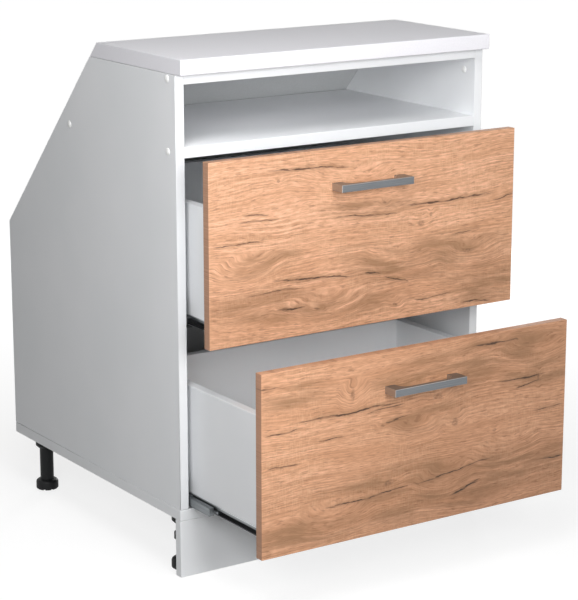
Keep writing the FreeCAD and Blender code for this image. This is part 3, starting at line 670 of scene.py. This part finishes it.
def fastener(head_radius, head_height, shank_radius, shank_length, dome, recess):
    """Screw, nail or cam face, the top of its head at the origin and upwards: a rounded rim, a
    cross recess of that half length where there is one, and a shank that ends in a point."""
    point_share = 0.15
    bpy.ops.object.select_all(action="DESELECT")
    bpy.ops.mesh.primitive_cylinder_add(vertices=24, radius=head_radius, depth=head_height,
                                        location=(0, 0, -head_height / 2))
    piece = bpy.context.object
    bpy.ops.object.transform_apply(location=True)
    bpy.ops.object.mode_set(mode="EDIT")
    if shank_length:
        tip = min(2 * shank_radius, shank_length / 2)
        select_where("faces", lambda face: face.normal.z < -0.9)
        bpy.ops.mesh.inset(thickness=head_radius - shank_radius)
        for drop in (shank_length - tip, tip):
            bpy.ops.mesh.extrude_region_move(TRANSFORM_OT_translate={"value": (0, 0, -drop)})
        bpy.ops.transform.resize(value=(point_share, point_share, 1))
    select_where("edges",
                 lambda edge: min(vert.co.z for vert in edge.verts) > -0.01 * head_height)
    bpy.ops.mesh.bevel(offset=dome, segments=3, affect="EDGES")
    if recess:
        arm = recess * 0.3

        def reach(face):
            return sorted((max(abs(vert.co.x) for vert in face.verts),
                           max(abs(vert.co.y) for vert in face.verts)))

        for axis in (Vector((1, 0, 0)), Vector((0, 1, 0))):
            for offset in (-recess, -arm, arm, recess):
                select_where("faces", lambda face: face.normal.z > 0.99)
                bpy.ops.mesh.bisect(plane_co=axis * offset, plane_no=axis, threshold=0.1 * WELD)
        select_where("faces", lambda face: face.normal.z > 0.99
                     and reach(face)[0] < arm * 1.01 and reach(face)[1] < recess * 1.01)
        bpy.ops.mesh.extrude_region_move(
            TRANSFORM_OT_translate={"value": (0, 0, -0.6 * head_height)})
    leave_edit(35)
    return piece


def fasten(name, dome_share, recess_share):
    """Modelled screws or nails in place of a CAD node's plain ones, at the places of its solids."""
    places = []
    for points, middle, normal in solids_in(name):
        depths = [-(point - middle).dot(normal) for point in points]
        radii = [(point - middle + normal * depth).length
                 for point, depth in zip(points, depths)]
        head_radius = max(radii)
        head_height = max(depth for depth, radius in zip(depths, radii)
                          if radius > 0.98 * head_radius)
        shank_radius = max(radius for depth, radius in zip(depths, radii)
                           if depth > head_height * 1.01)
        shank_length = max(depths) - head_height
        places.append((middle, normal))
    model = fastener(head_radius, head_height, shank_radius, shank_length,
                     dome_share * head_height, recess_share * head_radius)
    dress(set_out(model, name + "_turned", places), nodes[name]["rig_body"], slots[name], name)
    bpy.data.objects.remove(model)


def cam_faces(level):
    """Face of each cam fitting inside the drawer, with the cross slot that a driver turns it by."""
    proud = 0.4 * MM
    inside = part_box(level + "_drawer_right_side")[0].x
    places = []
    for points, _, _ in solids_in(level + "_front_cam_fittings"):
        ring = [point for point in points if abs(point.x) < inside + WELD]
        if ring:
            inward = Vector((-math.copysign(1, ring[0].x), 0, 0))
            places.append((sum(ring, Vector()) / len(ring) + inward * proud, inward))
    model = fastener(head_radius=7.5 * MM, head_height=2 * proud, shank_radius=0, shank_length=0,
                     dome=0.3 * MM, recess=4.5 * MM)
    dress(set_out(model, level + "_cam_faces", places), level + "_drawer", "zinc_fastener")
    bpy.data.objects.remove(model)


def turned(name, profile, steps):
    """Body turned about the upright axis from a profile of (radius, height) points in
    millimetres."""
    bpy.ops.object.select_all(action="DESELECT")
    bpy.ops.mesh.primitive_plane_add(size=1 * MM)
    piece = bpy.context.object
    piece.name = name
    bpy.ops.object.mode_set(mode="EDIT")
    bpy.ops.mesh.select_mode(type="VERT")
    bpy.ops.mesh.merge(type="CENTER")
    bpy.ops.transform.translate(value=(profile[0][0] * MM, 0, profile[0][1] * MM))
    for (radius, height), (next_radius, next_height) in zip(profile, profile[1:]):
        bpy.ops.mesh.extrude_region_move(TRANSFORM_OT_translate={
            "value": ((next_radius - radius) * MM, 0, (next_height - height) * MM)})
    bpy.ops.mesh.select_all(action="SELECT")
    bpy.ops.mesh.spin(steps=steps, angle=math.tau, center=(0, 0, 0), axis=(0, 0, 1))
    bpy.ops.mesh.select_all(action="SELECT")
    bpy.ops.mesh.remove_doubles(threshold=0.5 * WELD)
    bpy.ops.mesh.normals_make_consistent(inside=False)
    bpy.ops.object.mode_set(mode="OBJECT")
    return piece


def levelling_foot():
    """Foot with rounded shoulders, eight notches for the fingers and a threaded stud."""
    root, crest, pitch, turns = 4.4, 5.0, 2.0, 20
    stud_low, stud_end, stud_top = 18.6, 4.0, 60
    outline = [(0, 0), (16.6, 0), (18.8, 0.7), (20, 2.4), (20, 13.4), (19.2, 15.6), (17.4, 17.2),
               (15.4, 18), (root, 18)]
    for turn in range(turns):
        start = stud_low + turn * pitch
        outline += [(crest, start + 0.5), (crest, start + 0.9), (root, start + 1.4)]
    outline += [(stud_end, stud_top), (0, stud_top)]
    foot = turned("levelling_foot", outline, 72)

    notch_count = 8
    bpy.ops.object.select_all(action="DESELECT")
    bpy.ops.mesh.primitive_cube_add(size=1, location=(18 * MM, 0, 1.5 * MM),
                                    scale=(10 * MM, 4.4 * MM, 5.6 * MM))
    notch = bpy.context.object
    bpy.ops.object.transform_apply(location=True, scale=True)
    bpy.ops.object.mode_set(mode="EDIT")
    select_where("edges", lambda edge: min(vert.co.z for vert in edge.verts) > 0
                 and abs(edge.verts[0].co.y - edge.verts[1].co.y) < MM)
    bpy.ops.mesh.bevel(offset=1.2 * MM, segments=3, affect="EDGES")
    bpy.ops.object.mode_set(mode="OBJECT")
    notches = [notch]
    for i in range(1, notch_count):
        take(notch)
        bpy.ops.object.duplicate()
        bpy.context.object.rotation_euler = (0, 0, math.tau * i / notch_count)
        bpy.ops.object.transform_apply(rotation=True)
        notches.append(bpy.context.object)
    for other in notches:
        other.select_set(True)
    bpy.context.view_layer.objects.active = notch
    bpy.ops.object.join()
    take(foot)
    bpy.ops.object.modifier_add(type="BOOLEAN")
    foot.modifiers["Boolean"].object = notch
    bpy.ops.object.modifier_apply(modifier="Boolean")
    bpy.data.objects.remove(notch)
    take(foot)
    bpy.ops.object.shade_smooth_by_angle(angle=math.radians(35))
    return foot


def rail_bead(level, side, sign):
    """Rolled edge along the lip of a drawer rail."""
    name = level + "_" + side + "_drawer_rail"
    low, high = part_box(name)
    radius = 0.9 * MM
    outer = low.x if sign < 0 else high.x
    bpy.ops.object.select_all(action="DESELECT")
    bpy.ops.mesh.primitive_cylinder_add(
        vertices=16, radius=radius, depth=high.y - low.y, rotation=(math.radians(90), 0, 0),
        location=(outer - sign * radius, (low.y + high.y) / 2, high.z - RAIL_LIP))
    bead = bpy.context.object
    bead.name = name + "_bead"
    bpy.ops.object.transform_apply(location=True, rotation=True)
    bpy.ops.object.mode_set(mode="EDIT")
    select_where("edges", lambda edge: abs(edge.verts[0].co.y - edge.verts[1].co.y) < WELD)
    bpy.ops.mesh.bevel(offset=0.4 * MM, segments=2, affect="EDGES")
    leave_edit(40)
    dress(bead, level + "_drawer", "zinc_runner_steel")
    bead.data.materials[0] = own_finish[name]


for board in ("left_side_panel", "right_side_panel"):
    eased_board(board, below=2 * HAIRLINE, above=HAIRLINE)
for board in ("bottom_panel", "top_front_rail", "worktop"):
    eased_board(board)
eased_board("plinth_panel", above=HAIRLINE)
shelf = eased_board("niche_shelf")
shelf_rear = 300 * MM
for vert in shelf.data.vertices:
    if vert.co.y > shelf_rear:
        vert.co.y -= SHELF_GAP

ROUND_HEAD, SUNK_HEAD, NAIL_HEAD = (0.55, 0.5), (0.1, 0.55), (0.6, 0.0)
for name in ("worktop_screws", "bracket_screws", "leg_socket_screws", "cabinet_rail_screws"):
    fasten(name, *ROUND_HEAD)
fasten("bottom_screws", *SUNK_HEAD)
fasten("back_panel_nails", *NAIL_HEAD)
for level in LEVELS:
    for board in ("_drawer_front", "_drawer_left_side", "_drawer_right_side", "_drawer_back"):
        eased_board(level + board)
    eased_handle(level + "_handle")
    fasten(level + "_drawer_rail_screws", *ROUND_HEAD)
    fasten(level + "_handle_screws", *ROUND_HEAD)
    fasten(level + "_drawer_back_screws", *SUNK_HEAD)
    cam_faces(level)
    rail_bead(level, "left", -1)
    rail_bead(level, "right", 1)

cap = cover_cap()
cap_seats = [(middle, -normal) for _, middle, normal in solids_in("cover_caps")]
dress(set_out(cap, "snap_caps", cap_seats), "carcass", "white_plastic", "cover_caps")
bpy.data.objects.remove(cap)

foot = levelling_foot()
for place in ("front_left", "front_right", "rear_left", "rear_right"):
    low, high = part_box("foot_" + place)
    stand = Vector(((low.x + high.x) / 2, (low.y + high.y) / 2, low.z))
    dress(set_out(foot, "levelling_foot_" + place, [(stand, Vector((0, 0, 1)))]),
          "foot_" + place, "black_plastic", "foot_" + place)
bpy.data.objects.remove(foot)


def add_camera():
    """Camera at the photo's place; the lens is worked out from its focal length in pixels."""
    focal_px = 2126.0
    frame_px = 600.0
    sensor_mm = 36.0
    tilt_down, turn = 13.869, -33.792  # degrees
    data = bpy.data.cameras.new("camera")
    data.sensor_width = sensor_mm
    data.lens = focal_px * sensor_mm / frame_px
    camera = bpy.data.objects.new("camera", data)
    bpy.context.scene.collection.objects.link(camera)
    camera.location = (-1.9496, -2.7778, 1.2588)
    camera.rotation_euler = (math.radians(90 - tilt_down), 0, math.radians(turn))
    bpy.context.scene.camera = camera


def add_lamp(name, place, target, width, power):
    """Round soft lamp of that width in metres and power in watts, turned to the target."""
    data = bpy.data.lights.new(name, "AREA")
    data.shape = "DISK"
    data.size = width
    data.energy = power
    lamp = bpy.data.objects.new(name, data)
    bpy.context.scene.collection.objects.link(lamp)
    lamp.location = place
    lamp.visible_camera = False
    lamp.rotation_euler = (Vector(target) - Vector(place)).to_track_quat("-Z", "Y").to_euler()


def add_room():
    """White all round to the eye and in reflections and clear pieces, but it gives little light."""
    world = bpy.data.worlds.new("room")
    bpy.context.scene.world = world
    world.use_nodes = True
    tree = world.node_tree
    tree.nodes.clear()
    path = put(tree, "LightPath").outputs
    seen = path["Is Camera Ray"]
    for kind in ("Is Transmission Ray", "Is Glossy Ray"):
        seen = put(tree, "Math", {0: seen, 1: path[kind]}, operation="MAXIMUM").outputs[0]
    strength = put(tree, "MapRange", {"Value": seen, "To Min": 0.01, "To Max": 1.0}).outputs[0]
    glow = put(tree, "Background", {"Color": grey(1.0), "Strength": strength})
    put(tree, "OutputWorld", {"Surface": glow.outputs[0]})


def add_floor():
    """Pale floor that ends in white: it glows to the eye, the more so the farther out."""
    near, far = 0.6, 2.2  # metres from the middle
    just_below = -0.5 * MM
    bpy.ops.object.select_all(action="DESELECT")
    bpy.ops.mesh.primitive_plane_add(size=30, location=(0, 0, just_below))
    floor = bpy.context.object
    floor.name = "floor"
    material, tree, place = new_material("pale_floor")
    path = put(tree, "LightPath").outputs
    seen = put(tree, "Math", {0: path["Is Camera Ray"], 1: path["Is Glossy Ray"]},
               operation="MAXIMUM").outputs[0]
    away = put(tree, "VectorMath", {0: place}, operation="LENGTH").outputs["Value"]
    lift = put(tree, "MapRange", {"Value": away, "From Min": near, "From Max": far,
                                  "To Min": 0.78, "To Max": 1.0}).outputs[0]
    strength = put(tree, "Math", {0: seen, 1: lift}, operation="MULTIPLY").outputs[0]
    paint = put(tree, "BsdfDiffuse", {"Color": grey(0.3)})
    glow = put(tree, "Emission", {"Color": grey(1.0), "Strength": strength})
    both = put(tree, "AddShader", {0: paint.outputs[0], 1: glow.outputs[0]})
    put(tree, "OutputMaterial", {"Surface": both.outputs[0]})
    floor.data.materials.append(material)
    floor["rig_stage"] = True


middle = (0.0, 0.0, 0.5)
add_camera()
add_lamp("high_key", (-0.7, -0.8, 2.2), middle, 1.0, 15.5)
add_lamp("front", (-0.3, -2.4, 1.4), middle, 1.2, 30.5)
add_lamp("left", (-1.3, -1.0, 1.05), (0.0, -0.1, 0.5), 0.8, 14.3)
add_lamp("front_fill", (0.5, -3.2, 0.75), middle, 1.6, 12)
add_lamp("behind", (1.5, 1.9, 0.5), (0.0, 0.3, 0.4), 0.6, 16)
add_room()
add_floor()
bpy.context.scene.view_settings.view_transform = "Standard"

low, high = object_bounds()
